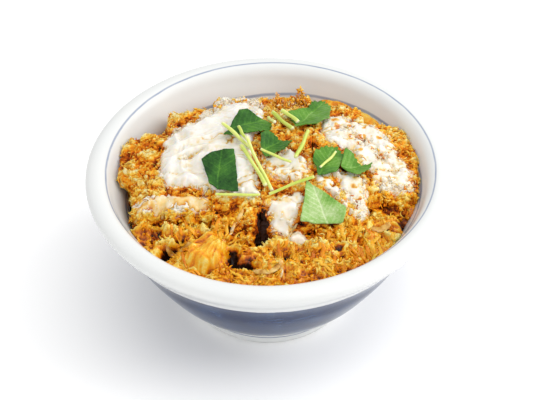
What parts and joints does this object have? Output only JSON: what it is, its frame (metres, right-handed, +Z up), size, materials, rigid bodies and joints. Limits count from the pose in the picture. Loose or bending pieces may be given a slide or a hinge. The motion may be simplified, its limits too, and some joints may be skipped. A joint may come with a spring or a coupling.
{
  "type": "rice bowl with cutlet",
  "caption": "Footed porcelain donburi bowl filled with simmered egg, a sliced breaded pork cutlet, soft egg white and mitsuba leaves and stems.",
  "frame": {"origin": "centre of the foot ring's underside, on the surface the bowl stands on", "axes": "+Z up out of the bowl's mouth; the front of the bowl faces -Y; +X to the right seen from the front"},
  "size_m": [0.165, 0.165, 0.0871],
  "materials": {
    "porcelain": "glazed white porcelain with a painted blue band and thin blue lines",
    "egg": "moist simmered egg",
    "crust": "craggy fried bread crumb crust",
    "egg_white": "soft wet egg white",
    "onion": "simmered onion",
    "leaf": "fresh leaf",
    "stem": "fresh stem"
  },
  "bodies": {
    "root": {"bowl": "porcelain", "egg_bed": "egg", "cutlet_slice_1": "crust", "cutlet_slice_2": "crust", "cutlet_slice_3": "crust", "cutlet_slice_4": "crust", "cutlet_slice_5": "crust", "cutlet_slice_6": "crust", "egg_white_1": "egg_white", "egg_white_2": "egg_white", "egg_white_3": "egg_white", "egg_white_4": "egg_white", "egg_white_5": "egg_white", "egg_white_6": "egg_white", "egg_white_7": "egg_white", "onion_slice_1": "onion", "onion_slice_2": "onion", "onion_slice_3": "onion", "mitsuba_leaf_1": "leaf", "mitsuba_leaf_2": "leaf", "mitsuba_leaf_3": "leaf", "mitsuba_leaf_4": "leaf", "mitsuba_leaf_5": "leaf", "mitsuba_leaf_6": "leaf", "mitsuba_leaf_7": "leaf", "mitsuba_stem_1": "stem", "mitsuba_stem_2": "stem", "mitsuba_stem_3": "stem", "mitsuba_stem_4": "stem", "mitsuba_stem_5": "stem", "mitsuba_stem_6": "stem", "mitsuba_stem_7": "stem", "mitsuba_stem_8": "stem", "mitsuba_stem_9": "stem", "mitsuba_stem_10": "stem", "mitsuba_stem_11": "stem"}
  },
  "joints": []
}
